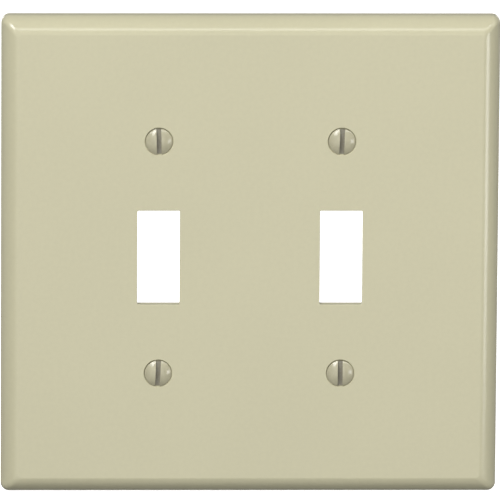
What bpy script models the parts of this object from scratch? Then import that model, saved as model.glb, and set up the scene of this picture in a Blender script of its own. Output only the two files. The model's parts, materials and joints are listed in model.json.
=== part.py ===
"""Two-gang toggle wall plate with its four mounting screws.

The plate stands upright, as on a wall: X is its width, +Z is up and the face looks towards -Y.
The back rim lies in the wall plane, y = 0, and the origin is the centre of that plane.
Lengths are in metres.
"""

import math

import bmesh
import bpy
from mathutils import Vector

# Plate, outside
PLATE_WIDTH = 0.1254
PLATE_HEIGHT = 0.1238
PLATE_DEPTH = 0.0065
CORNER_RADIUS = 0.0021
MITRE_RADIUS = 0.0012

# Rounded edge between the side wall and the face, a superellipse
EDGE_RUN = 0.0044
EDGE_DROP = 0.0042
EDGE_POWER = 1.6

# Plate, back
FACE_WALL = 0.0023
RIM_WALL = 0.0020
POCKET_DRAFT = 0.0002
POCKET_BEVEL = 0.0014
POCKET_CORNER = 0.0015
STRAP_RECESS = 0.0016
COLLAR_GAP = 0.0012
COLLAR_WALL = 0.0016
COLLAR_RECESS = 0.0020
RIB_WIDTH = 0.0013
RIB_RECESS = 0.0023
RIB_CORNER = 0.0002
BOSS_DIAMETER = 0.0096
UNION_ROOT = 0.0003

# Toggle openings
GANG_SPACING = 0.04602
OPENING_WIDTH = 0.0107
OPENING_HEIGHT = 0.0244
OPENING_CORNER = 0.0005
OPENING_BREAK = 0.00015

# Screws: 6-32 slotted oval heads, 82 degree countersink
SCREW_SPACING = 0.06033
SCREW_LENGTH = 0.0127
HEAD_DIAMETER = 0.0067
HEAD_RISE = 0.0011
HEAD_CONE_ANGLE = math.radians(82)
SLOT_WIDTH = 0.0012
SLOT_DEPTH = 0.00135
MAJOR_DIAMETER = 0.003505
MINOR_DIAMETER = 0.00264
NECK_DIAMETER = 0.0030
NECK_LENGTH = 0.0004
PITCH = 0.0254 / 32
TIP_CHAMFER = 0.0004

# How far each screw is turned from its slot standing upright, clockwise from the front
SCREW_TURNS = {
    "top_left": math.radians(-1.6),
    "top_right": math.radians(2.2),
    "bottom_left": math.radians(2.2),
    "bottom_right": 0.0,
}

# Clearances
SEAT_GAP = 0.00025
SHANK_GAP = 0.00035
CUTTER_OVERRUN = 0.001

# Facets
EDGE_STEPS = 8
CORNER_STEPS = 3
HOLE_STEPS = 24
BOSS_STEPS = 32
SCREW_STEPS = 16
DOME_STEPS = 4
SMOOTH_ANGLE = math.radians(35)


def clear_scene():
    for obj in list(bpy.data.objects):
        bpy.data.objects.remove(obj, do_unlink=True)


def make_material(name, colour, roughness, metallic=0.0):
    material = bpy.data.materials.new(name)
    material.use_nodes = True
    shader = material.node_tree.nodes["Principled BSDF"]
    shader.inputs["Base Color"].default_value = (*colour, 1.0)
    shader.inputs["Roughness"].default_value = roughness
    shader.inputs["Metallic"].default_value = metallic
    return material


def add_object(name, mesh, material=None):
    obj = bpy.data.objects.new(name, mesh)
    bpy.context.scene.collection.objects.link(obj)
    if material:
        mesh.materials.append(material)
    return obj


def finish_mesh(name, work):
    bmesh.ops.recalc_face_normals(work, faces=work.faces)
    mesh = bpy.data.meshes.new(name)
    work.to_mesh(mesh)
    work.free()
    mesh.shade_smooth()
    mesh.set_sharp_from_angle(angle=SMOOTH_ANGLE)
    return mesh


def rounded_rectangle(half_width, half_height, radius, steps=CORNER_STEPS):
    """Points (x, z) counter-clockwise, starting at the top right corner."""
    points = []
    for quarter, (side_x, side_z) in enumerate(((1, 1), (-1, 1), (-1, -1), (1, -1))):
        centre_x = side_x * (half_width - radius)
        centre_z = side_z * (half_height - radius)
        for step in range(steps + 1):
            angle = math.radians(90) * (quarter + step / steps)
            points.append((centre_x + radius * math.cos(angle), centre_z + radius * math.sin(angle)))
    return points


def circle(radius, steps):
    angles = [2 * math.pi * step / steps for step in range(steps)]
    return [(radius * math.cos(angle), radius * math.sin(angle)) for angle in angles]


def add_ring(work, outline, y, centre=(0.0, 0.0)):
    return [work.verts.new((centre[0] + x, y, centre[1] + z)) for x, z in outline]


def join_rings(work, first, second):
    count = len(first)
    for index in range(count):
        following = (index + 1) % count
        work.faces.new((first[index], first[following], second[following], second[index]))


def loft(name, sections, centre=(0.0, 0.0)):
    """A closed mesh through outlines of equal point count, each given as (outline, y)."""
    work = bmesh.new()
    rings = [add_ring(work, outline, y, centre) for outline, y in sections]
    for first, second in zip(rings, rings[1:]):
        join_rings(work, first, second)
    work.faces.new(rings[0])
    work.faces.new(rings[-1])
    return finish_mesh(name, work)


def add_cutter(name, mesh):
    cutter = add_object(name, mesh)
    cutter.hide_render = True
    cutter.display_type = "WIRE"
    return cutter


def add_boolean(obj, operation, other):
    modifier = obj.modifiers.new(other.name, "BOOLEAN")
    modifier.operation = operation
    modifier.solver = "EXACT"
    modifier.object = other


def edge_profile():
    """(inset, y) from the start of the rounded edge, on the side wall, to the face."""
    points = []
    for step in range(EDGE_STEPS + 1):
        angle = math.radians(90) * step / EDGE_STEPS
        inset = EDGE_RUN * (1 - max(math.cos(angle), 0.0) ** (2 / EDGE_POWER))
        rise = EDGE_DROP * math.sin(angle) ** (2 / EDGE_POWER)
        points.append((inset, EDGE_DROP - PLATE_DEPTH - rise))
    return points


def plate_outline(inset):
    radius = max(CORNER_RADIUS - inset, MITRE_RADIUS)
    return rounded_rectangle(PLATE_WIDTH / 2 - inset, PLATE_HEIGHT / 2 - inset, radius)


def plate_mesh():
    sections = [(plate_outline(0.0), 0.0)]
    sections += [(plate_outline(inset), y) for inset, y in edge_profile()]
    return loft("wall_plate", sections)


def pocket_mesh():
    """The hollow back: a drafted rectangle whose floor is bevelled to follow the rounded edge."""
    floor = FACE_WALL - PLATE_DEPTH
    levels = (
        (RIM_WALL, CUTTER_OVERRUN),
        (RIM_WALL, 0.0),
        (RIM_WALL + POCKET_DRAFT, floor + POCKET_BEVEL),
        (RIM_WALL + POCKET_DRAFT + POCKET_BEVEL, floor),
    )
    sections = []
    for inset, y in levels:
        half_width = PLATE_WIDTH / 2 - inset
        half_height = PLATE_HEIGHT / 2 - inset
        sections.append((rounded_rectangle(half_width, half_height, POCKET_CORNER), y))
    return loft("pocket_cutter", sections)


def rib_mesh(name, half_width, half_height, centre=(0.0, 0.0)):
    """A raised rib on the pocket floor, whose top stays short of the wall plane."""
    outline = rounded_rectangle(half_width, half_height, RIB_CORNER)
    root = FACE_WALL - PLATE_DEPTH - UNION_ROOT
    return loft(name, [(outline, root), (outline, -RIB_RECESS)], centre)


def boss_mesh(name, centre):
    outline = circle(BOSS_DIAMETER / 2, BOSS_STEPS)
    root = FACE_WALL - PLATE_DEPTH - UNION_ROOT
    return loft(name, [(outline, root), (outline, -STRAP_RECESS)], centre)


def opening_mesh(name, centre):
    """A straight slot through the face, with a small break round its front edge."""

    def outline(extra):
        half_width = OPENING_WIDTH / 2 + extra
        half_height = OPENING_HEIGHT / 2 + extra
        return rounded_rectangle(half_width, half_height, OPENING_CORNER + extra)

    sections = [
        (outline(0.0), CUTTER_OVERRUN),
        (outline(0.0), OPENING_BREAK - PLATE_DEPTH),
        (outline(OPENING_BREAK), -PLATE_DEPTH),
        (outline(OPENING_BREAK), -PLATE_DEPTH - CUTTER_OVERRUN),
    ]
    return loft(name, sections, centre)


def screw_hole_mesh(name, centre):
    """A clearance hole and the countersink that keeps the seat gap to the head's cone."""
    slope = math.tan(HEAD_CONE_ANGLE / 2)
    mouth = HEAD_DIAMETER / 2 + SEAT_GAP / math.cos(HEAD_CONE_ANGLE / 2)
    bore = MAJOR_DIAMETER / 2 + SHANK_GAP
    cone_depth = (mouth - bore) / slope
    sections = [
        (circle(bore, HOLE_STEPS), CUTTER_OVERRUN),
        (circle(bore, HOLE_STEPS), cone_depth - PLATE_DEPTH),
        (circle(mouth, HOLE_STEPS), -PLATE_DEPTH),
        (circle(mouth, HOLE_STEPS), -PLATE_DEPTH - CUTTER_OVERRUN),
    ]
    return loft(name, sections, centre)


def screw_places():
    """Screw name to its (x, z) place."""
    places = {}
    for row, side_z in (("top", 1), ("bottom", -1)):
        for column, side_x in (("left", -1), ("right", 1)):
            places[f"{row}_{column}"] = (side_x * GANG_SPACING / 2, side_z * SCREW_SPACING / 2)
    return places


def gang_places():
    return {"left": (-GANG_SPACING / 2, 0.0), "right": (GANG_SPACING / 2, 0.0)}


def rib_meshes():
    """One upright rib between the gangs, and one level rib through each row of bosses."""
    reach_x = PLATE_WIDTH / 2 - RIM_WALL + UNION_ROOT
    reach_z = PLATE_HEIGHT / 2 - RIM_WALL + UNION_ROOT
    level = SCREW_SPACING / 2
    half = RIB_WIDTH / 2
    return [
        rib_mesh("rib_upright", half, reach_z),
        rib_mesh("rib_upper", reach_x, half, (0.0, level)),
        rib_mesh("rib_lower", reach_x, half, (0.0, -level)),
    ]


def collar_mesh(name, centre):
    """A raised frame on the pocket floor round an opening, set back from its edge."""

    def outline(extra):
        half_width = OPENING_WIDTH / 2 + extra
        half_height = OPENING_HEIGHT / 2 + extra
        return rounded_rectangle(half_width, half_height, OPENING_CORNER + extra)

    root = FACE_WALL - PLATE_DEPTH - UNION_ROOT
    inner = outline(COLLAR_GAP)
    outer = outline(COLLAR_GAP + COLLAR_WALL)
    work = bmesh.new()
    levels = ((outer, root), (outer, -COLLAR_RECESS), (inner, -COLLAR_RECESS), (inner, root))
    rings = [add_ring(work, ring, y, centre) for ring, y in levels]
    for first, second in zip(rings, rings[1:] + rings[:1]):
        join_rings(work, first, second)
    return finish_mesh(name, work)


def build_plate(material):
    plate = add_object("wall_plate", plate_mesh(), material)
    add_boolean(plate, "DIFFERENCE", add_cutter("pocket_cutter", pocket_mesh()))
    added = rib_meshes()
    added += [collar_mesh(f"collar_{name}", place) for name, place in gang_places().items()]
    added += [boss_mesh(f"boss_{name}", place) for name, place in screw_places().items()]
    removed = [opening_mesh(f"opening_{name}", place) for name, place in gang_places().items()]
    removed += [screw_hole_mesh(f"hole_{name}", place) for name, place in screw_places().items()]
    for operation, meshes in (("UNION", added), ("DIFFERENCE", removed)):
        for mesh in meshes:
            add_boolean(plate, operation, add_cutter(mesh.name, mesh))
    return plate


def add_dome(work, outline_of):
    """The oval top: a spherical cap from its crown down to the head's rim. Returns the rim ring."""
    rim = HEAD_DIAMETER / 2
    ball = (rim**2 + HEAD_RISE**2) / (2 * HEAD_RISE)
    widest = math.asin(rim / ball)
    crown = work.verts.new((0.0, -HEAD_RISE, 0.0))
    previous = None
    for step in range(1, DOME_STEPS + 1):
        angle = widest * step / DOME_STEPS
        y = ball * (1 - math.cos(angle)) - HEAD_RISE
        ring = add_ring(work, outline_of(ball * math.sin(angle)), y)
        if previous:
            join_rings(work, previous, ring)
        else:
            for index in range(len(ring)):
                work.faces.new((crown, ring[index], ring[(index + 1) % len(ring)]))
        previous = ring
    return previous


def add_thread(work, first_ring, start, turns):
    """A right-hand helical thread that fades in and out at its ends.

    The grid's rows climb with the helix, so the last point of a row is the first point of the
    row one pitch further on. Returns the plain ring after the thread.
    """
    # Axial place in the pitch, and whether it is on the crest: root flat, flank, crest, flank
    profile = ((0.0, 0), (0.25, 0), (0.5625, 1), (0.6875, 1))
    rows = len(profile)
    root = MINOR_DIAMETER / 2
    height = (MAJOR_DIAMETER - MINOR_DIAMETER) / 2
    fade_turns = 0.5
    grid = []
    for row in range(rows * turns + 1):
        turn, place = divmod(row, rows)
        offset, crest = profile[place]
        points = []
        for step in range(SCREW_STEPS):
            share = step / SCREW_STEPS
            fade = min(turn + share, turns - turn - share, fade_turns) / fade_turns
            radius = root + height * crest * max(fade, 0.0)
            angle = 2 * math.pi * share
            y = start + PITCH * (turn + offset + share)
            points.append(work.verts.new((radius * math.sin(angle), y, radius * math.cos(angle))))
        grid.append(points)

    last = SCREW_STEPS - 1
    for row in range(rows * turns):
        lower, upper = grid[row], grid[row + 1]
        for step in range(last):
            work.faces.new((lower[step], lower[step + 1], upper[step + 1], upper[step]))
        if row + rows + 1 <= rows * turns:
            work.faces.new((lower[last], grid[row + rows][0], grid[row + rows + 1][0], upper[last]))

    # The first and last rows climb one pitch round the screw: a strip joins each to a level ring
    end_y = start + PITCH * (turns + 1)
    end_ring = add_ring(work, shank_outline(root), end_y)
    for step in range(last):
        following = step + 1
        work.faces.new((first_ring[step], first_ring[following], grid[0][following], grid[0][step]))
        work.faces.new((grid[-1][step], grid[-1][following], end_ring[following], end_ring[step]))
    work.faces.new((first_ring[last], first_ring[0], grid[0][0]))
    work.faces.new((first_ring[last], grid[0][0], grid[0][last]))
    work.faces.new((grid[-1][0], grid[-1][last], end_ring[last]))
    work.faces.new((grid[-1][0], end_ring[last], end_ring[0]))
    for row in range(rows):
        work.faces.new((grid[0][last], grid[row][0], grid[row + 1][0]))
        after = rows * turns - row
        work.faces.new((grid[-1][0], grid[after - 1][last], grid[after][last]))
    return end_ring


def shank_outline(radius):
    """Points (x, z) in the order of the helix: from the top, turning towards +X."""
    angles = [2 * math.pi * step / SCREW_STEPS for step in range(SCREW_STEPS)]
    return [(radius * math.sin(angle), radius * math.cos(angle)) for angle in angles]


def screw_mesh():
    """A screw along +Y, with its origin at the centre of the head's rim and its slot upright."""
    slope = math.tan(HEAD_CONE_ANGLE / 2)
    neck = NECK_DIAMETER / 2
    root = MINOR_DIAMETER / 2
    cone_end = (HEAD_DIAMETER / 2 - neck) / slope
    thread_from = cone_end + NECK_LENGTH
    thread_to = SCREW_LENGTH - TIP_CHAMFER
    turns = math.floor((thread_to - thread_from) / PITCH) - 1
    start = thread_to - PITCH * (turns + 1)

    work = bmesh.new()
    rim = add_dome(work, shank_outline)
    cone_foot = add_ring(work, shank_outline(neck), cone_end)
    neck_foot = add_ring(work, shank_outline(neck), thread_from - TIP_CHAMFER / 2)
    thread_head = add_ring(work, shank_outline(root), start - TIP_CHAMFER / 4)
    for first, second in ((rim, cone_foot), (cone_foot, neck_foot), (neck_foot, thread_head)):
        join_rings(work, first, second)
    end_ring = add_thread(work, thread_head, start, turns)
    tip = add_ring(work, shank_outline(root - TIP_CHAMFER), SCREW_LENGTH)
    join_rings(work, end_ring, tip)
    work.faces.new(tip)
    return finish_mesh("wall_plate_screw", work)


def slot_mesh():
    """A block across the whole head, down to the slot's floor."""
    half_width = SLOT_WIDTH / 2
    half_length = HEAD_DIAMETER / 2 + CUTTER_OVERRUN
    corners = [(1, 1), (-1, 1), (-1, -1), (1, -1)]
    outline = [(side_x * half_width, side_z * half_length) for side_x, side_z in corners]
    top = -HEAD_RISE - CUTTER_OVERRUN
    return loft("screw_slot_cutter", [(outline, top), (outline, SLOT_DEPTH - HEAD_RISE)])


def build_screws(material):
    mesh = screw_mesh()
    mesh.materials.append(material)
    slot = slot_mesh()
    for name, (x, z) in screw_places().items():
        screw = add_object(f"screw_{name}", mesh)
        cutter = add_cutter(f"slot_{name}", slot)
        add_boolean(screw, "DIFFERENCE", cutter)
        for obj in (screw, cutter):
            obj.location = Vector((x, -PLATE_DEPTH, z))
            obj.rotation_euler.y = SCREW_TURNS[name]


def main():
    clear_scene()
    plastic = make_material("ivory_plastic", (0.60, 0.57, 0.40), 0.35)
    enamel = make_material("ivory_enamel", (0.50, 0.48, 0.33), 0.30)
    build_plate(plastic)
    build_screws(enamel)


main()
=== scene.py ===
"""Two-gang toggle wall plate in ivory thermoset, with its four enamelled screws.

Lengths are in metres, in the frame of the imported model: X is the plate's width, +Z is up, the face looks
towards -Y, and the back rim lies in the wall plane, y = 0.
"""

import json
import logging
import math
from dataclasses import dataclass
from enum import Enum
from typing import Callable, Iterable, Sequence

import bmesh
import bpy
from mathutils import Matrix, Vector


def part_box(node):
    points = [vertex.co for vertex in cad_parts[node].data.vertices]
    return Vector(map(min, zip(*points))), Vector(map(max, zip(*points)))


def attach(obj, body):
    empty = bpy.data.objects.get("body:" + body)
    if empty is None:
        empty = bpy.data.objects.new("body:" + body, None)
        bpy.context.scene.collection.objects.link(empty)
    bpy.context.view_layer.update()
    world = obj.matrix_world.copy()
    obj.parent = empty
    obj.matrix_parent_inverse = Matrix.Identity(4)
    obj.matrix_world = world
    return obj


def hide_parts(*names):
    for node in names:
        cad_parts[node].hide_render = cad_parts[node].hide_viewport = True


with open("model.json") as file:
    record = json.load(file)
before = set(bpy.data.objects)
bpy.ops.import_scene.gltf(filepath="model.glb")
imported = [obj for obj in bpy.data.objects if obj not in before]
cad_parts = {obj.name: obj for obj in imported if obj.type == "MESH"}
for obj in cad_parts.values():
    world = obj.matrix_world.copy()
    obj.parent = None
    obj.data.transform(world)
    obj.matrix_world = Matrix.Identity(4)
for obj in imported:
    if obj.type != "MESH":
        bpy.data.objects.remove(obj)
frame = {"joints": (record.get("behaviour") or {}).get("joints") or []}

Point = tuple[float, float]
Span = tuple[float, float]
Colour = tuple[float, float, float]
Stretch = tuple[float, float, float]
Section = tuple[list[Point], float]

QUARTER_TURN = math.radians(90)
FLOOR_GAP = 0.0005

log = logging.getLogger("wall_plate")


class Side(Enum):
    """A gang or a column of screws, with its sign along X."""

    LEFT = -1
    RIGHT = 1


class Row(Enum):
    """A row of screws, with its sign along Z."""

    TOP = 1
    BOTTOM = -1


class Work(Enum):
    """What a tool does to the body it is used on."""

    ADD = "UNION"
    CUT = "DIFFERENCE"


class Slot(Enum):
    """Material slots of the record."""

    PLASTIC = "ivory_plastic"
    ENAMEL = "ivory_enamel"


# ---- Outlines and meshes ----


def rounded_rectangle(half_width: float, half_height: float, radius: float, steps: int) -> list[Point]:
    """Lay out a rectangle with round corners.

    Args:
        half_width: Half its size along X.
        half_height: Half its size along Z.
        radius: Corner radius.
        steps: Segments in each corner.

    Returns:
        Points (x, z), from the top right corner round by way of the top left one.
    """
    points = []
    for quarter, (side_x, side_z) in enumerate(((1, 1), (-1, 1), (-1, -1), (1, -1))):
        centre_x = side_x * (half_width - radius)
        centre_z = side_z * (half_height - radius)
        for step in range(steps + 1):
            angle = QUARTER_TURN * (quarter + step / steps)
            points.append((centre_x + radius * math.cos(angle), centre_z + radius * math.sin(angle)))
    return points


def circle(radius: float, steps: int) -> list[Point]:
    """Lay out a circle of (x, z) points.

    Args:
        radius: Its radius.
        steps: How many points it has.

    Returns:
        The points, from +X towards +Z.
    """
    angles = [2 * math.pi * step / steps for step in range(steps)]
    return [(radius * math.cos(angle), radius * math.sin(angle)) for angle in angles]


def quarter_round(radius: float, steps: int) -> list[Point]:
    """Points (inset, rise) of a rounded edge, from the side wall over to the top face."""
    angles = [QUARTER_TURN * step / steps for step in range(steps + 1)]
    return [(radius * (1 - math.cos(angle)), radius * math.sin(angle)) for angle in angles]


def mesh_from(name: str, work: bmesh.types.BMesh) -> bpy.types.Mesh:
    """Turn a bmesh into a mesh with outward faces, and free it.

    Args:
        name: The mesh's name.
        work: The bmesh, which is used up.

    Returns:
        The mesh.
    """
    bmesh.ops.recalc_face_normals(work, faces=work.faces)
    mesh = bpy.data.meshes.new(name)
    work.to_mesh(mesh)
    work.free()
    return mesh


def add_ring(work: bmesh.types.BMesh, outline: Iterable[Point], y: float, centre: Point) -> list:
    """Add an outline's points at a depth, and return the vertices."""
    return [work.verts.new((centre[0] + x, y, centre[1] + z)) for x, z in outline]


def join_rings(work: bmesh.types.BMesh, first: Sequence, second: Sequence) -> None:
    """Join two rings of equal count with a band of quads.

    Args:
        work: The bmesh they are in.
        first: Vertices of one ring.
        second: Vertices of the other, in the same order.
    """
    count = len(first)
    for index in range(count):
        following = (index + 1) % count
        work.faces.new((first[index], first[following], second[following], second[index]))


def loft(name: str, sections: Iterable[Section], centre: Point = (0.0, 0.0)) -> bpy.types.Object:
    """Build a closed body through outlines of equal point count.

    Args:
        name: The object's name.
        sections: Each outline with its depth y.
        centre: Where (x, z) zero of the outlines lies.

    Returns:
        The new object, linked to the scene.
    """
    work = bmesh.new()
    rings = [add_ring(work, outline, y, centre) for outline, y in sections]
    for first, second in zip(rings, rings[1:]):
        join_rings(work, first, second)
    work.faces.new(rings[0])
    work.faces.new(rings[-1])
    return add_object(name, mesh_from(name, work))


def add_object(name: str, mesh: bpy.types.Mesh) -> bpy.types.Object:
    """Make an object of a mesh and link it to the scene.

    Args:
        name: The object's name.
        mesh: Its mesh.

    Returns:
        The object.
    """
    obj = bpy.data.objects.new(name, mesh)
    bpy.context.scene.collection.objects.link(obj)
    return obj


def settle(obj: bpy.types.Object) -> None:
    """Replace an object's mesh by its evaluated one, and drop its modifiers.

    Args:
        obj: The object.
    """
    bpy.context.view_layer.update()
    graph = bpy.context.evaluated_depsgraph_get()
    mesh = bpy.data.meshes.new_from_object(obj.evaluated_get(graph))
    obj.modifiers.clear()
    obj.data = mesh


def machine(body: bpy.types.Object, tools: Iterable[tuple[Work, bpy.types.Object]]) -> None:
    """Add or cut bodies in turn, then throw them away.

    Args:
        body: The body that is worked on.
        tools: Each tool with what it does.
    """
    used = list(tools)
    for work, tool in used:
        modifier = body.modifiers.new(tool.name, "BOOLEAN")
        modifier.operation = work.value
        modifier.solver = "EXACT"
        modifier.object = tool
    settle(body)
    for _, tool in used:
        bpy.data.objects.remove(tool, do_unlink=True)


def shade(obj: bpy.types.Object, sharp_above: float) -> None:
    """Shade smooth up to an angle, with flat faces kept flat right to their rounded edges.

    Args:
        obj: The object.
        sharp_above: Edges that turn by more degrees than this stay sharp.
    """
    obj.data.shade_smooth()
    obj.data.set_sharp_from_angle(angle=math.radians(sharp_above))
    weighted = obj.modifiers.new("face_weighted_normals", "WEIGHTED_NORMAL")
    weighted.keep_sharp = True
    weighted.weight = 100


# ---- Finishes ----


class Recipe:
    """Writes one material as nodes round a Principled shader."""

    def __init__(self, name: str) -> None:
        """Start a material that reads places in the piece's own space, in metres.

        Args:
            name: The material's name.
        """
        self.material = bpy.data.materials.new(name)
        self.material.use_nodes = True
        self.nodes = self.material.node_tree.nodes
        self.links = self.material.node_tree.links
        self.shader = self.nodes["Principled BSDF"]
        self.place = self.nodes.new("ShaderNodeTexCoord").outputs["Object"]

    def feed(self, socket: bpy.types.NodeSocket, value: object) -> None:
        """Link a socket to an output, or set it to a plain value.

        Args:
            socket: The input that is fed.
            value: An output or a plain value.
        """
        if isinstance(value, bpy.types.NodeSocket):
            self.links.new(value, socket)
        else:
            socket.default_value = value

    def math(self, operation: str, *values: object) -> bpy.types.NodeSocket:
        """Work out one operation on numbers or outputs.

        Args:
            operation: The operation's name.
            values: What it works on.

        Returns:
            The result's output.
        """
        node = self.nodes.new("ShaderNodeMath")
        node.operation = operation
        for socket, value in zip(node.inputs, values):
            self.feed(socket, value)
        return node.outputs[0]

    def stretched(self, scale: Stretch, turn: float = 0.0) -> bpy.types.NodeSocket:
        """Stretch the places that a pattern is read at.

        Args:
            scale: Factor on each axis.
            turn: Turn about Y that follows, in radians.

        Returns:
            The places' output.
        """
        node = self.nodes.new("ShaderNodeMapping")
        self.feed(node.inputs["Vector"], self.place)
        node.inputs["Scale"].default_value = scale
        node.inputs["Rotation"].default_value = (0.0, turn, 0.0)
        return node.outputs["Vector"]

    def shifted(self, by: Sequence[float]) -> None:
        """Move every pattern that is added from here on.

        Args:
            by: How far on each axis.
        """
        node = self.nodes.new("ShaderNodeMapping")
        self.feed(node.inputs["Vector"], self.place)
        node.inputs["Location"].default_value = by
        self.place = node.outputs["Vector"]

    def noise(
        self, size: float, detail: float = 2.0, at: bpy.types.NodeSocket | None = None
    ) -> bpy.types.NodeSocket:
        """Return a cloudy pattern from 0 to 1.

        Args:
            size: How wide its features are.
            detail: How many finer octaves it has.
            at: Places to read it at, when they aren't the piece's own.

        Returns:
            The pattern's output.
        """
        node = self.nodes.new("ShaderNodeTexNoise")
        self.feed(node.inputs["Vector"], at or self.place)
        node.inputs["Scale"].default_value = 1 / size
        node.inputs["Detail"].default_value = detail
        return node.outputs["Fac"]

    def band(
        self, value: object, start: float, end: float, low: float = 0.0, high: float = 1.0
    ) -> bpy.types.NodeSocket:
        """Go smoothly from low to high as a value goes from start to end.

        Args:
            value: The number or output that is read.
            start: Where the change starts.
            end: Where it ends.
            low: The result up to the start.
            high: The result from the end on.

        Returns:
            The result's output.
        """
        node = self.nodes.new("ShaderNodeMapRange")
        node.interpolation_type = "SMOOTHSTEP"
        self.feed(node.inputs["Value"], value)
        for name, number in (("From Min", start), ("From Max", end), ("To Min", low), ("To Max", high)):
            node.inputs[name].default_value = number
        return node.outputs["Result"]

    def axis(self, name: str) -> bpy.types.NodeSocket:
        """Return one coordinate of the place, X, Y or Z."""
        node = self.nodes.new("ShaderNodeSeparateXYZ")
        self.feed(node.inputs[0], self.place)
        return node.outputs[name]

    def blend(self, share: object, first: object, second: object) -> bpy.types.NodeSocket:
        """Mix two colours.

        Args:
            share: How much of the second there is, from 0 to 1.
            first: A triple or an output.
            second: A triple or an output.

        Returns:
            The mixed colour's output.
        """
        node = self.nodes.new("ShaderNodeMix")
        node.data_type = "RGBA"
        self.feed(node.inputs["Factor"], share)
        for socket, colour in ((node.inputs[6], first), (node.inputs[7], second)):
            self.feed(socket, (*colour, 1.0) if isinstance(colour, tuple) else colour)
        return node.outputs[2]

    def mottled(self, share: object, colour: Colour, tones: Span) -> bpy.types.NodeSocket:
        """Vary a colour's tone.

        Args:
            share: A pattern from 0 to 1.
            colour: The colour.
            tones: Factors on it where the pattern is 0 and where it is 1.

        Returns:
            The varied colour's output.
        """
        return self.blend(share, *(toned(colour, tone) for tone in tones))

    def relief(self, layers: Iterable[tuple[bpy.types.NodeSocket, float]]) -> None:
        """Give the surface bumps.

        Args:
            layers: Each pattern from 0 to 1 with the height that 1 stands for.
        """
        normal = None
        for pattern, height in layers:
            node = self.nodes.new("ShaderNodeBump")
            node.inputs["Distance"].default_value = height
            self.feed(node.inputs["Height"], pattern)
            if normal is not None:
                self.feed(node.inputs["Normal"], normal)
            normal = node.outputs["Normal"]
        self.feed(self.shader.inputs["Normal"], normal)

    def set(self, **values: object) -> None:
        """Set or link the shader's sockets.

        Args:
            values: Each socket's value, by its name with _ for a space.
        """
        for name, value in values.items():
            value = (*value, 1.0) if isinstance(value, tuple) and len(value) == 3 else value
            self.feed(self.shader.inputs[name.replace("_", " ")], value)


def toned(colour: Colour, by: float) -> Colour:
    """Make a colour lighter or darker by a factor."""
    return tuple(channel * by for channel in colour)


@dataclass(frozen=True)
class MouldedFace:
    """Polished side of the moulding: satin ivory with filler mottling, faint peel and handling marks."""

    colour: Colour = (0.600, 0.570, 0.391)
    tones: Span = (0.982, 1.018)
    tone_span: Span = (0.6, 1.4)
    drift_size: float = 0.045
    mottle_size: float = 0.0011
    roughness: float = 0.20
    wipe_size: float = 0.012
    wipe_range: float = 0.04
    peel_size: float = 0.0016
    peel_height: float = 0.000002
    grain_size: float = 0.00022
    grain_height: float = 0.0000010
    mark_size: float = 0.12
    mark_stretch: Stretch = (9.0, 1.0, 420.0)
    mark_turn: float = math.radians(24)
    mark_span: Span = (0.66, 0.72)
    mark_roughness: float = 0.03
    mark_height: float = 0.0000005

    def make(self) -> bpy.types.Material:
        """Write the material.

        Returns:
            The material.
        """
        recipe = Recipe("ivory_moulded_face")
        tone = recipe.math("ADD", recipe.noise(self.drift_size), recipe.noise(self.mottle_size, 3.0))
        share = recipe.band(tone, *self.tone_span)
        long_marks = recipe.stretched(self.mark_stretch, self.mark_turn)
        marks = recipe.band(recipe.noise(self.mark_size, at=long_marks), *self.mark_span)
        wiped = recipe.noise(self.wipe_size, 3.0)
        smoothest = self.roughness - self.wipe_range / 2
        rough = recipe.math("MULTIPLY_ADD", wiped, self.wipe_range, smoothest)
        recipe.set(
            Base_Color=recipe.mottled(share, self.colour, self.tones),
            Roughness=recipe.math("MULTIPLY_ADD", marks, self.mark_roughness, rough),
        )
        recipe.relief(
            (
                (recipe.noise(self.peel_size), self.peel_height),
                (recipe.noise(self.grain_size), self.grain_height),
                (marks, -self.mark_height),
            )
        )
        return recipe.material


@dataclass(frozen=True)
class MouldedBack:
    """Unpolished side of the moulding: duller, with the tool's machining lines and flow clouds."""

    colour: Colour = (0.560, 0.530, 0.370)
    tones: Span = (0.965, 1.035)
    flow_size: float = 0.020
    flow_span: Span = (0.3, 0.7)
    roughness: float = 0.52
    flow_roughness: float = 0.12
    line_size: float = 0.10
    line_stretch: Stretch = (6.0, 1.0, 900.0)
    line_height: float = 0.000006
    grain_size: float = 0.0005
    grain_height: float = 0.000008

    def make(self) -> bpy.types.Material:
        """Write the material.

        Returns:
            The material.
        """
        recipe = Recipe("ivory_moulded_back")
        flow = recipe.noise(self.flow_size, 4.0)
        lines = recipe.noise(self.line_size, 1.0, recipe.stretched(self.line_stretch))
        share = recipe.band(flow, *self.flow_span)
        smoothest = self.roughness - self.flow_roughness / 2
        recipe.set(
            Base_Color=recipe.mottled(share, self.colour, self.tones),
            Roughness=recipe.math("MULTIPLY_ADD", flow, self.flow_roughness, smoothest),
        )
        recipe.relief(
            (
                (lines, self.line_height),
                (recipe.noise(self.grain_size, 3.0), self.grain_height),
            )
        )
        return recipe.material


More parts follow.
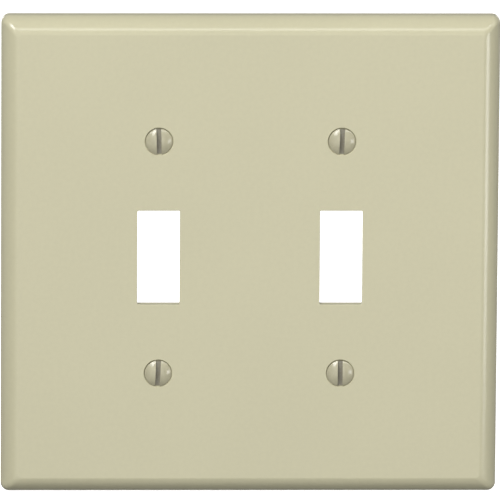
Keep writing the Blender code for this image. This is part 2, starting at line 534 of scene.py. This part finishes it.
@dataclass(frozen=True)
class EnamelledSteel:
    """Screw finish: glossy ivory enamel on the head, with the slot coloured darker as painted shade and
    worn enamel, over bright zinc on the thread.

    Places are the screw's own: y = 0 at the head's rim, +Y towards the tip, the slot along Z.
    """

    slot_half_width: float
    enamel: Colour = (0.500, 0.472, 0.330)
    enamel_tones: Span = (0.965, 1.03)
    tone_size: float = 0.0012
    tone_span: Span = (0.3, 0.7)
    # Darker colour of the slot: painted shade in the recess, and worn enamel along its edges.
    slot_shade_and_wear_tone: Colour = (0.290, 0.268, 0.200)
    wear_reach: Span = (0.00008, 0.00015)
    wear_waver: float = 0.00022
    zinc: Colour = (0.560, 0.570, 0.560)
    zinc_tones: Span = (0.72, 1.15)
    crystal_size: float = 0.0007
    spray_span: Span = (0.0007, 0.0021)
    spray_size: float = 0.0006
    spray_waver: float = 0.0012
    roughness: float = 0.11
    tone_roughness: float = 0.05
    slot_roughness: float = 0.22
    zinc_roughness: float = 0.12
    sag_size: float = 0.0005
    sag_height: float = 0.000004
    speckle_size: float = 0.00035
    speckle_height: float = 0.0000015

    def make(self, name: str, offset: float) -> bpy.types.Material:
        """Write one screw's material.

        Args:
            name: The screw's name.
            offset: How far its patterns are moved, so that no two screws are alike.

        Returns:
            The material.
        """
        recipe = Recipe(f"enamelled_{name}")
        across = recipe.math("ABSOLUTE", recipe.axis("X"))
        depth = recipe.axis("Y")
        recipe.shifted((offset, offset, offset))
        speckle = recipe.noise(self.speckle_size, 3.0)
        shade_and_wear_edge = recipe.math("MULTIPLY_ADD", speckle, self.wear_waver, across)
        wear_start, wear_end = (self.slot_half_width + reach for reach in self.wear_reach)
        # Mask of the slot and a ragged fringe past its walls: painted shade inside the slot, worn enamel at
        # its edges.
        slot_shade_and_wear = recipe.band(shade_and_wear_edge, wear_start, wear_end, 1.0, 0.0)
        along = recipe.math("MULTIPLY_ADD", recipe.noise(self.spray_size, 3.0), self.spray_waver, depth)
        bare = recipe.band(along, *self.spray_span)
        tone = recipe.band(recipe.noise(self.tone_size), *self.tone_span)
        coat = recipe.mottled(tone, self.enamel, self.enamel_tones)
        # The slot is painted darker: painted shade in the recess, with worn enamel at the edges.
        head = recipe.blend(slot_shade_and_wear, coat, self.slot_shade_and_wear_tone)
        metal = recipe.mottled(recipe.noise(self.crystal_size, 4.0), self.zinc, self.zinc_tones)
        glossy = recipe.math("MULTIPLY_ADD", tone, self.tone_roughness, self.roughness)
        rough = recipe.math("MULTIPLY_ADD", slot_shade_and_wear, self.slot_roughness, glossy)
        recipe.set(
            Base_Color=recipe.blend(bare, head, metal),
            Metallic=bare,
            Roughness=recipe.math("MULTIPLY_ADD", bare, self.zinc_roughness, rough),
        )
        recipe.relief(
            (
                (recipe.noise(self.sag_size), self.sag_height),
                (speckle, self.speckle_height),
            )
        )
        return recipe.material


# ---- The plate ----


@dataclass
class WallPlate:
    """The moulding: a rounded plate with a hollow back, two toggle openings and four screw holes.

    Attributes:
        low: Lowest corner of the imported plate.
        high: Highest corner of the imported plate.
        screws: Where the screws' heads sit, each (x, z).
    """

    low: Vector
    high: Vector
    screws: list[Point]

    corner_radius: float = 0.0021
    mitre_radius: float = 0.0012
    edge_run: float = 0.0044
    edge_drop: float = 0.0042
    edge_power: float = 1.6
    back_edge: float = 0.0002
    back_band: float = 0.00002

    face_wall: float = 0.0023
    rim_wall: float = 0.0020
    pocket_draft: float = 0.0002
    pocket_bevel: float = 0.0014
    pocket_corner: float = 0.0015
    root: float = 0.0003

    strap_recess: float = 0.0016
    boss_radius: float = 0.0048
    collar_gap: float = 0.0012
    collar_wall: float = 0.0016
    collar_recess: float = 0.0020
    rib_width: float = 0.0013
    rib_corner: float = 0.0004
    rib_recess: float = 0.0023
    crest_round: float = 0.00025
    pin_radius: float = 0.0021
    pin_depth: float = 0.00012
    pin_reach: float = 0.80

    opening_width: float = 0.0107
    opening_height: float = 0.0244
    opening_corner: float = 0.0003
    opening_edge: float = 0.00018

    mouth_radius: float = 0.00364
    bore_radius: float = 0.0021
    cone_half_angle: float = math.radians(41)
    mouth_edge: float = 0.00006
    overrun: float = 0.001

    edge_steps: int = 36
    corner_steps: int = 12
    round_steps: int = 5
    hole_steps: int = 96

    @property
    def half_width(self) -> float:
        """Half the plate's width."""
        return (self.high.x - self.low.x) / 2

    @property
    def half_height(self) -> float:
        """Half the plate's height."""
        return (self.high.z - self.low.z) / 2

    @property
    def face(self) -> float:
        """Where the front face lies along Y."""
        return self.low.y

    @property
    def floor(self) -> float:
        """Where the hollow back's floor lies along Y."""
        return self.low.y + self.face_wall

    @property
    def gangs(self) -> list[Point]:
        """Centres of the toggle openings, under the screws."""
        return [(x, 0.0) for x in sorted({x for x, _ in self.screws})]

    def outline(self, inset: float) -> list[Point]:
        """The plate's outline drawn in by an inset, whose corners close to a mitre."""
        radius = max(self.corner_radius - inset, self.mitre_radius)
        return rounded_rectangle(
            self.half_width - inset, self.half_height - inset, radius, self.corner_steps
        )

    def blank(self) -> bpy.types.Object:
        """The plate's outside as one solid, from its rounded back edge to its rounded front edge.

        Returns:
            The body.
        """
        sections = []
        for inset, rise in reversed(quarter_round(self.back_edge, self.round_steps)):
            sections.append((self.outline(inset), rise - self.back_edge))
        for step in range(self.edge_steps + 1):
            angle = QUARTER_TURN * step / self.edge_steps
            inset = self.edge_run * (1 - max(math.cos(angle), 0.0) ** (2 / self.edge_power))
            rise = self.edge_drop * math.sin(angle) ** (2 / self.edge_power)
            sections.append((self.outline(inset), self.face + self.edge_drop - rise))
        return loft("wall_plate_moulding", sections)

    def pocket(self) -> bpy.types.Object:
        """The hollow back, with a bevelled foot that follows the plate's rounded edge.

        Returns:
            The cutter.
        """
        levels = (
            (self.rim_wall, self.overrun),
            (self.rim_wall, 0.0),
            (self.rim_wall + self.pocket_draft, self.floor + self.pocket_bevel),
            (self.rim_wall + self.pocket_draft + self.pocket_bevel, self.floor),
        )
        sections = []
        for inset, y in levels:
            width = self.half_width - inset
            height = self.half_height - inset
            sections.append((rounded_rectangle(width, height, self.pocket_corner, self.corner_steps), y))
        return loft("pocket", sections)

    def crest(self, recess: float) -> list[Point]:
        """Points (inset, y) of a rounded crest that stays a recess short of the wall plane."""
        foot = -recess - self.crest_round
        return [(inset, foot + rise) for inset, rise in quarter_round(self.crest_round, self.round_steps)]

    def raised(
        self, name: str, outline: Callable[[float], list[Point]], recess: float, centre: Point
    ) -> bpy.types.Object:
        """A body on the hollow's floor with a rounded crest.

        Args:
            name: The body's name.
            outline: Gives its outline, drawn in by an inset.
            recess: How far its crest stays short of the wall plane.
            centre: Its place.

        Returns:
            The body.
        """
        sections = [(outline(0.0), self.floor - self.root)]
        sections += [(outline(inset), y) for inset, y in self.crest(recess)]
        return loft(name, sections, centre)

    def rib(self, name: str, size: Point, centre: Point) -> bpy.types.Object:
        """A raised rib.

        Args:
            name: The rib's name.
            size: Half its sizes (x, z).
            centre: Its place.

        Returns:
            The body.
        """

        def outline(inset: float) -> list[Point]:
            """The rib's outline, drawn in by an inset."""
            corner = self.rib_corner - inset
            return rounded_rectangle(size[0] - inset, size[1] - inset, corner, self.round_steps)

        return self.raised(name, outline, self.rib_recess, centre)

    def ribs(self) -> list[bpy.types.Object]:
        """One upright rib between the gangs and a level one through each row of bosses.

        Returns:
            The ribs.
        """
        half = self.rib_width / 2
        reach_x = self.half_width - self.rim_wall + self.root
        reach_z = self.half_height - self.rim_wall + self.root
        made = [self.rib("rib_upright", (half, reach_z), (0.0, 0.0))]
        for level in sorted({z for _, z in self.screws}):
            made.append(self.rib(f"rib_{len(made)}", (reach_x, half), (0.0, level)))
        return made

    def collar(self, name: str, centre: Point) -> bpy.types.Object:
        """The raised frame round a toggle opening, set back from its edge.

        Args:
            name: The frame's name.
            centre: Centre of the opening.

        Returns:
            The body.
        """
        width = self.opening_width / 2 + self.collar_gap
        height = self.opening_height / 2 + self.collar_gap
        corner = self.opening_corner + self.collar_gap
        crest = self.crest(self.collar_recess)
        foot = self.floor - self.root
        profile = [(self.collar_wall, foot)]
        profile += [(self.collar_wall - inset, y) for inset, y in crest]
        profile += [(inset, y) for inset, y in reversed(crest)]
        profile.append((0.0, foot))
        work = bmesh.new()
        rings = []
        for out, y in profile:
            outline = rounded_rectangle(width + out, height + out, corner + out, self.round_steps)
            rings.append(add_ring(work, outline, y, centre))
        for first, second in zip(rings, rings[1:] + rings[:1]):
            join_rings(work, first, second)
        return add_object(name, mesh_from(name, work))

    def collars(self) -> list[bpy.types.Object]:
        """The frames round both toggle openings."""
        return [self.collar(f"collar_{index}", centre) for index, centre in enumerate(self.gangs)]

    def bosses(self) -> list[bpy.types.Object]:
        """The round pad behind each screw hole, which bears on a switch's strap.

        Returns:
            The pads.
        """

        def outline(inset: float) -> list[Point]:
            """The boss's outline, drawn in by an inset."""
            return circle(self.boss_radius - inset, self.hole_steps)

        return [
            self.raised(f"boss_{index}", outline, self.strap_recess, centre)
            for index, centre in enumerate(self.screws)
        ]

    def opening(self, name: str, centre: Point) -> bpy.types.Object:
        """The cutter of a toggle opening, which also rounds its front edge.

        Args:
            name: The cutter's name.
            centre: Centre of the opening.

        Returns:
            The cutter.
        """

        def outline(extra: float) -> list[Point]:
            """The opening's outline, let out by some extra."""
            return rounded_rectangle(
                self.opening_width / 2 + extra,
                self.opening_height / 2 + extra,
                self.opening_corner + extra,
                self.corner_steps,
            )

        sections = [(outline(0.0), self.overrun)]
        for inset, rise in quarter_round(self.opening_edge, self.round_steps):
            sections.append((outline(inset), self.face + self.opening_edge - rise))
        sections.append((outline(self.opening_edge), self.face - self.overrun))
        return loft(name, sections, centre)

    def screw_hole(self, name: str, centre: Point) -> bpy.types.Object:
        """The cutter of a clearance hole and its countersink.

        Args:
            name: The cutter's name.
            centre: Centre of the hole.

        Returns:
            The cutter.
        """
        cone_depth = (self.mouth_radius - self.bore_radius) / math.tan(self.cone_half_angle)
        levels = [(self.bore_radius, self.overrun), (self.bore_radius, self.face + cone_depth)]
        levels.append((self.mouth_radius - self.mouth_edge / 2, self.face + self.mouth_edge))
        levels.append((self.mouth_radius + self.mouth_edge / 2, self.face))
        levels.append((self.mouth_radius + self.mouth_edge / 2, self.face - self.overrun))
        return loft(name, [(circle(radius, self.hole_steps), y) for radius, y in levels], centre)

    def pin_marks(self) -> list[bpy.types.Object]:
        """Cutters of the shallow discs that the mould's ejector pins leave in the hollow's floor.

        Returns:
            The cutters.
        """
        reach_x = self.half_width * self.pin_reach
        reach_z = self.half_height * self.pin_reach
        places = [(x, z) for x in (-reach_x, reach_x) for z in (-reach_z, 0.0, reach_z)]
        places += [(x, z) for x, _ in self.gangs for z in (-reach_z, reach_z)]
        outline = circle(self.pin_radius, self.hole_steps // 2)
        cut = self.floor - self.pin_depth
        return [
            loft(f"pin_mark_{index}", [(outline, self.floor + self.root), (outline, cut)], centre)
            for index, centre in enumerate(places)
        ]

    def is_back(self, centre: Vector) -> bool:
        """Whether a face's centre lies in the hollow back or on the wall side of the rim.

        Args:
            centre: The face's centre.

        Returns:
            True for the duller side.
        """
        within_x = abs(centre.x) < self.half_width - self.rim_wall + self.root
        within_z = abs(centre.z) < self.half_height - self.rim_wall + self.root
        hollow = within_x and within_z and centre.y > self.floor - 2 * self.pin_depth
        return hollow or centre.y > -self.back_band

    def build(self) -> bpy.types.Object:
        """Mould the plate, dress it and set it on its body.

        Returns:
            The finished plate.
        """
        plate = self.blank()
        tools = [(Work.CUT, self.pocket())]
        tools += [(Work.ADD, tool) for tool in (*self.ribs(), *self.collars(), *self.bosses())]
        cutters = [self.opening(f"opening_{index}", centre) for index, centre in enumerate(self.gangs)]
        cutters += [self.screw_hole(f"hole_{index}", centre) for index, centre in enumerate(self.screws)]
        tools += [(Work.CUT, tool) for tool in (*cutters, *self.pin_marks())]
        machine(plate, tools)
        self.dress(plate)
        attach(plate, "plate")
        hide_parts("wall_plate")
        log.info("%s: %d faces", plate.name, len(plate.data.polygons))
        return plate

    def dress(self, plate: bpy.types.Object) -> None:
        """Give the plate its polished face and its duller back.

        Args:
            plate: The moulded plate.
        """
        plate.data.materials.clear()
        plate.data.materials.append(MouldedFace().make())
        plate.data.materials.append(MouldedBack().make())
        for polygon in plate.data.polygons:
            polygon.material_index = int(self.is_back(polygon.center))
        shade(plate, sharp_above=32)


# ---- The screws ----


@dataclass
class OvalHeadScrew:
    """A slotted 6-32 oval-head screw along +Y, its origin at the centre of the head's rim.

    The thread's profile gives, for each row of points, its share of the pitch, and 0 for the root or 1
    for the crest.
    """

    head_radius: float = 0.00335
    rise: float = 0.00108
    rim_land: float = 0.00006
    cone_half_angle: float = math.radians(41)
    slot_width: float = 0.0012
    slot_depth: float = 0.00135
    slot_edge: float = 0.00005
    slot_edge_steps: int = 3
    slot_edge_angle: float = math.radians(55)
    neck_radius: float = 0.0015
    neck_length: float = 0.0004
    major_radius: float = 0.0017525
    root_radius: float = 0.00132
    pitch: float = 0.0254 / 32
    profile: tuple[tuple[float, int], ...] = ((0.0, 0), (0.25, 0), (0.5625, 1), (0.6875, 1))
    length: float = 0.0127
    tip_chamfer: float = 0.0004
    fade_turns: float = 0.6
    steps: int = 96
    dome_steps: int = 20

    def outline(self, radius: float) -> list[Point]:
        """A ring's points, from the top towards +X, which is the way the thread climbs."""
        angles = [2 * math.pi * step / self.steps for step in range(self.steps)]
        return [(radius * math.sin(angle), radius * math.cos(angle)) for angle in angles]

    @property
    def cone_end(self) -> float:
        """How deep the cone reaches under the rim."""
        return self.rim_land + (self.head_radius - self.neck_radius) / math.tan(self.cone_half_angle)

    def head(self) -> bpy.types.Object:
        """The head and its neck, with a slot whose edges the enamel rounds.

        Returns:
            The body.
        """
        work = bmesh.new()
        ball = (self.head_radius**2 + self.rise**2) / (2 * self.rise)
        widest = math.asin(self.head_radius / ball)
        crown = work.verts.new((0.0, -self.rise, 0.0))
        rings = []
        for step in range(1, self.dome_steps + 1):
            angle = widest * step / self.dome_steps
            depth = ball * (1 - math.cos(angle)) - self.rise
            rings.append(add_ring(work, self.outline(ball * math.sin(angle)), depth, (0.0, 0.0)))
        for radius, y in (
            (self.head_radius, self.rim_land),
            (self.neck_radius, self.cone_end),
            (self.neck_radius, self.cone_end + self.neck_length),
        ):
            rings.append(add_ring(work, self.outline(radius), y, (0.0, 0.0)))
        for index in range(self.steps):
            work.faces.new((crown, rings[0][index], rings[0][(index + 1) % self.steps]))
        for first, second in zip(rings, rings[1:]):
            join_rings(work, first, second)
        work.faces.new(rings[-1])
        head = add_object("screw_pattern", mesh_from("screw_pattern", work))
        machine(head, [(Work.CUT, self.slot())])
        edges = head.modifiers.new("slot_edges", "BEVEL")
        edges.width = self.slot_edge
        edges.segments = self.slot_edge_steps
        edges.limit_method = "ANGLE"
        edges.angle_limit = self.slot_edge_angle
        settle(head)
        return head

    def slot(self) -> bpy.types.Object:
        """The slot's cutter, a block right across the head.

        Returns:
            The cutter.
        """
        corners = ((1, 1), (-1, 1), (-1, -1), (1, -1))
        outline = [(x * self.slot_width / 2, z * 2 * self.head_radius) for x, z in corners]
        return loft("slot", [(outline, -2 * self.rise), (outline, self.slot_depth - self.rise)])

    def radius_at(self, crest: int, turn: float, turns: int) -> float:
        """The thread's radius at a place along it.

        Args:
            crest: 0 at the root and 1 on the crest.
            turn: How many turns from its start the place is.
            turns: How many turns the thread has.

        Returns:
            The radius.
        """
        fade = max(min(turn, turns - turn, self.fade_turns), 0.0) / self.fade_turns
        return self.root_radius + (self.major_radius - self.root_radius) * crest * fade

    def thread(self) -> bpy.types.Object:
        """The threaded shank: rows of points that climb with the helix, closed by a level ring at each end.

        Returns:
            The body.
        """
        rows = len(self.profile)
        inside_neck = self.cone_end + self.neck_length / 2
        thread_end = self.length - self.tip_chamfer
        turns = math.floor((thread_end - inside_neck - self.neck_length) / self.pitch) - 1
        start = thread_end - self.pitch * (turns + 1)
        last = self.steps - 1

        work = bmesh.new()
        grid = []
        for row in range(rows * turns + 1):
            turn, place = divmod(row, rows)
            offset, crest = self.profile[place]
            points = []
            for step, (x, z) in enumerate(self.outline(1.0)):
                share = step / self.steps
                radius = self.radius_at(crest, turn + share, turns)
                y = start + self.pitch * (turn + offset + share)
                points.append(work.verts.new((radius * x, y, radius * z)))
            grid.append(points)
        for row in range(rows * turns):
            lower, upper = grid[row], grid[row + 1]
            for step in range(last):
                work.faces.new((lower[step], lower[step + 1], upper[step + 1], upper[step]))
            if row + rows < rows * turns:
                work.faces.new((lower[last], grid[row + rows][0], grid[row + rows + 1][0], upper[last]))

        top = add_ring(work, self.outline(self.root_radius), inside_neck, (0.0, 0.0))
        foot = add_ring(work, self.outline(self.root_radius), thread_end, (0.0, 0.0))
        for step in range(last):
            following = step + 1
            work.faces.new((top[step], top[following], grid[0][following], grid[0][step]))
            work.faces.new((grid[-1][step], grid[-1][following], foot[following], foot[step]))
        work.faces.new((top[last], top[0], grid[0][0], grid[0][last]))
        work.faces.new((grid[-1][0], grid[-1][last], foot[last], foot[0]))
        for row in range(rows):
            after = rows * turns - row
            work.faces.new((grid[0][last], grid[row][0], grid[row + 1][0]))
            work.faces.new((grid[-1][0], grid[after - 1][last], grid[after][last]))
        tip = add_ring(work, self.outline(self.root_radius - self.tip_chamfer), self.length, (0.0, 0.0))
        join_rings(work, foot, tip)
        work.faces.new(tip)
        work.faces.new(top)
        return add_object("screw_thread", mesh_from("screw_thread", work))

    def pattern(self) -> bpy.types.Mesh:
        """The finished screw's mesh, head and thread in one body.

        Returns:
            The mesh.
        """
        screw = self.head()
        machine(screw, [(Work.ADD, self.thread())])
        mesh = screw.data
        bpy.data.objects.remove(screw, do_unlink=True)
        return mesh


@dataclass(frozen=True)
class ScrewPlace:
    """Where one screw sits, and how far it is turned from its slot standing upright, in degrees.

    A positive turn is clockwise seen from the front.
    """

    row: Row
    side: Side
    turn: float

    @property
    def name(self) -> str:
        """The screw's node and body."""
        return f"screw_{self.row.name.lower()}_{self.side.name.lower()}"

    @property
    def head(self) -> Vector:
        """Centre of the head's rim, from the joint that the screw turns on."""
        joint = next(joint for joint in frame["joints"] if joint["child"] == self.name)
        return Vector(joint["pos_m"])


@dataclass
class ScrewSet:
    """The four mounting screws, whose patterns are moved a step on from one to the next."""

    screw: OvalHeadScrew
    pattern_step: float = 0.01
    places: tuple[ScrewPlace, ...] = (
        ScrewPlace(Row.TOP, Side.LEFT, -1.6),
        ScrewPlace(Row.TOP, Side.RIGHT, 2.2),
        ScrewPlace(Row.BOTTOM, Side.LEFT, 2.2),
        ScrewPlace(Row.BOTTOM, Side.RIGHT, 0.0),
    )

    @property
    def centres(self) -> list[Point]:
        """The heads' places on the face, each (x, z)."""
        return [(place.head.x, place.head.z) for place in self.places]

    def build(self) -> list[bpy.types.Object]:
        """Make each screw in its place, dress it and set it on its body.

        Returns:
            The finished screws.
        """
        pattern = self.screw.pattern()
        finish = EnamelledSteel(slot_half_width=self.screw.slot_width / 2)
        made = []
        for index, place in enumerate(self.places):
            obj = add_object(f"{place.name}_finished", pattern.copy())
            obj.location = place.head
            obj.rotation_euler.y = math.radians(place.turn)
            obj.data.materials.clear()
            obj.data.materials.append(finish.make(place.name, self.pattern_step * (index + 1)))
            shade(obj, sharp_above=40)
            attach(obj, place.name)
            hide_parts(place.name)
            log.info("%s: %d faces", obj.name, len(obj.data.polygons))
            made.append(obj)
        bpy.data.meshes.remove(pattern)
        return made


# ---- The studio ----


def direction(azimuth: float, elevation: float) -> Vector:
    """The unit vector from the plate towards a place round it.

    Args:
        azimuth: Degrees from straight in front, positive to the right.
        elevation: Degrees above the horizon.

    Returns:
        The direction.
    """
    turn = math.radians(azimuth)
    lift = math.radians(elevation)
    return Vector((math.sin(turn) * math.cos(lift), -math.cos(turn) * math.cos(lift), math.sin(lift)))


@dataclass(frozen=True)
class Softbox:
    """A rectangular soft light that points at the plate."""

    name: str
    azimuth: float
    elevation: float
    distance: float
    width: float
    height: float
    power: float
    colour: Colour = (1.0, 1.0, 1.0)

    def place(self) -> bpy.types.Object:
        """Hang the light.

        Returns:
            The light.
        """
        lamp = bpy.data.lights.new(self.name, "AREA")
        lamp.shape = "RECTANGLE"
        lamp.size = self.width
        lamp.size_y = self.height
        lamp.energy = self.power
        lamp.color = self.colour
        obj = bpy.data.objects.new(self.name, lamp)
        bpy.context.scene.collection.objects.link(obj)
        towards = direction(self.azimuth, self.elevation)
        obj.location = towards * self.distance
        obj.rotation_euler = towards.to_track_quat("Z", "Y").to_euler()
        obj.visible_camera = False
        return obj


@dataclass(frozen=True)
class Surround:
    """The studio's own soft light: a little from everywhere, more from behind and above."""

    everywhere: float = 0.13
    behind: float = 0.20
    seen: float = 1.0
    behind_span: Span = (-0.45, 0.35)
    upward_span: Span = (-0.9, 0.0)

    def hang(self) -> None:
        """Set the world."""
        world = bpy.data.worlds.new("surround")
        bpy.context.scene.world = world
        world.use_nodes = True
        nodes = world.node_tree.nodes
        links = world.node_tree.links
        background = nodes["Background"]
        place = nodes.new("ShaderNodeTexCoord")
        parts = nodes.new("ShaderNodeSeparateXYZ")
        links.new(place.outputs["Generated"], parts.inputs[0])
        behind = self.ramp(world, parts.outputs["Y"], self.behind_span, (0.0, self.behind))
        upward = self.ramp(world, parts.outputs["Z"], self.upward_span, (0.0, 1.0))
        strength = nodes.new("ShaderNodeMath")
        strength.operation = "MULTIPLY_ADD"
        links.new(behind, strength.inputs[0])
        links.new(upward, strength.inputs[1])
        strength.inputs[2].default_value = self.everywhere
        path = nodes.new("ShaderNodeLightPath")
        chosen = nodes.new("ShaderNodeMix")
        links.new(path.outputs["Is Camera Ray"], chosen.inputs["Factor"])
        links.new(strength.outputs[0], chosen.inputs["A"])
        chosen.inputs["B"].default_value = self.seen
        links.new(chosen.outputs["Result"], background.inputs["Strength"])
        background.inputs["Color"].default_value = (1.0, 1.0, 1.0, 1.0)

    @staticmethod
    def ramp(
        world: bpy.types.World, value: bpy.types.NodeSocket, span: Span, levels: Span
    ) -> bpy.types.NodeSocket:
        """Go smoothly from one level to another as a value crosses a span.

        Args:
            world: The world whose nodes it joins.
            value: The output that is read.
            span: Where the change starts and ends.
            levels: The result before and after it.

        Returns:
            The result's output.
        """
        node = world.node_tree.nodes.new("ShaderNodeMapRange")
        node.interpolation_type = "SMOOTHSTEP"
        world.node_tree.links.new(value, node.inputs["Value"])
        for name, number in zip(("From Min", "From Max", "To Min", "To Max"), (*span, *levels)):
            node.inputs[name].default_value = number
        return node.outputs["Result"]


@dataclass(frozen=True)
class PaleFloor:
    """A plain pale floor of lit acrylic, seen from above only, that throws no light on the plate."""

    level: float
    reach: float = 60.0
    colour: Colour = (0.90, 0.90, 0.90)
    glow: float = 0.95

    def lay(self) -> bpy.types.Object:
        """Lay the floor.

        Returns:
            The floor.
        """
        work = bmesh.new()
        corners = ((-1, -1), (1, -1), (1, 1), (-1, 1))
        work.faces.new([work.verts.new((x * self.reach, y * self.reach, self.level)) for x, y in corners])
        floor = add_object("floor", mesh_from("floor", work))
        floor.data.materials.append(self.material())
        floor.visible_diffuse = False
        floor.visible_glossy = False
        floor.visible_shadow = False
        return floor

    def material(self) -> bpy.types.Material:
        """Pale and softly lit from above, open from below.

        Returns:
            The material.
        """
        recipe = Recipe("pale_floor")
        recipe.set(
            Base_Color=self.colour,
            Roughness=0.8,
            Emission_Color=(1.0, 1.0, 1.0),
            Emission_Strength=self.glow,
        )
        nodes, links = recipe.nodes, recipe.links
        facing = nodes.new("ShaderNodeNewGeometry")
        clear = nodes.new("ShaderNodeBsdfTransparent")
        either = nodes.new("ShaderNodeMixShader")
        links.new(facing.outputs["Backfacing"], either.inputs["Fac"])
        links.new(recipe.shader.outputs[0], either.inputs[1])
        links.new(clear.outputs[0], either.inputs[2])
        links.new(either.outputs[0], nodes["Material Output"].inputs["Surface"])
        return recipe.material


@dataclass(frozen=True)
class StudioCamera:
    """A long lens a little above the plate and a touch to its left."""

    azimuth: float = -1.515
    elevation: float = 14.564
    roll: float = 0.383
    distance: float = 3.2
    lens: float = 912.6
    sensor: float = 36.0
    clip: Span = (0.05, 200.0)
    aim: tuple[float, float, float] = (0.00020, 0.0, 0.00036)

    def place(self) -> bpy.types.Object:
        """Set up the camera and make it the scene's.

        Returns:
            The camera.
        """
        data = bpy.data.cameras.new("camera")
        data.lens = self.lens
        data.sensor_width = self.sensor
        data.clip_start, data.clip_end = self.clip
        camera = bpy.data.objects.new("camera", data)
        bpy.context.scene.collection.objects.link(camera)
        back = direction(self.azimuth, self.elevation)
        level = Vector((0.0, 0.0, 1.0)).cross(back).normalized()
        upright = back.cross(level)
        tilt = math.radians(self.roll)
        right = level * math.cos(tilt) + upright * math.sin(tilt)
        up = upright * math.cos(tilt) - level * math.sin(tilt)
        matrix = Matrix((right, up, back)).transposed().to_4x4()
        matrix.translation = Vector(self.aim) + back * self.distance
        camera.matrix_world = matrix
        bpy.context.scene.camera = camera
        return camera


@dataclass(frozen=True)
class Studio:
    """Floor, surround, lights and camera."""

    floor_level: float
    lights: tuple[Softbox, ...] = (
        # name, azimuth, elevation, distance, width, height, power
        Softbox("key", -32.0, 40.0, 1.70, 0.45, 1.00, 13.7),
        Softbox("fill", -6.4, -2.0, 1.00, 1.32, 1.05, 3.45),
        Softbox("right_box", 54.0, -8.0, 0.80, 0.24, 0.24, 1.05),
        Softbox("overhead_strip", 6.4, 46.5, 1.10, 2.80, 0.17, 7.2),
        Softbox("back_box", 180.0, -14.0, 1.40, 1.00, 1.00, 6.0),
    )

    def build(self) -> None:
        """Set up the studio."""
        scene = bpy.context.scene
        scene.view_settings.view_transform = "Standard"
        scene.view_settings.look = "None"
        Surround().hang()
        PaleFloor(self.floor_level).lay()
        for light in self.lights:
            light.place()
            log.info("light %s", light.name)
        StudioCamera().place()


def main() -> None:
    """Build the screws and the plate round the frame, then the studio."""
    logging.basicConfig(level=logging.INFO, format="%(name)s %(message)s")
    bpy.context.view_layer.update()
    low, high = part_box("wall_plate")
    screws = ScrewSet(OvalHeadScrew())
    plate = WallPlate(low, high, screws.centres)
    plate.build()
    screws.build()
    Studio(floor_level=low.z - FLOOR_GAP).build()


if __name__ == "__main__":
    main()
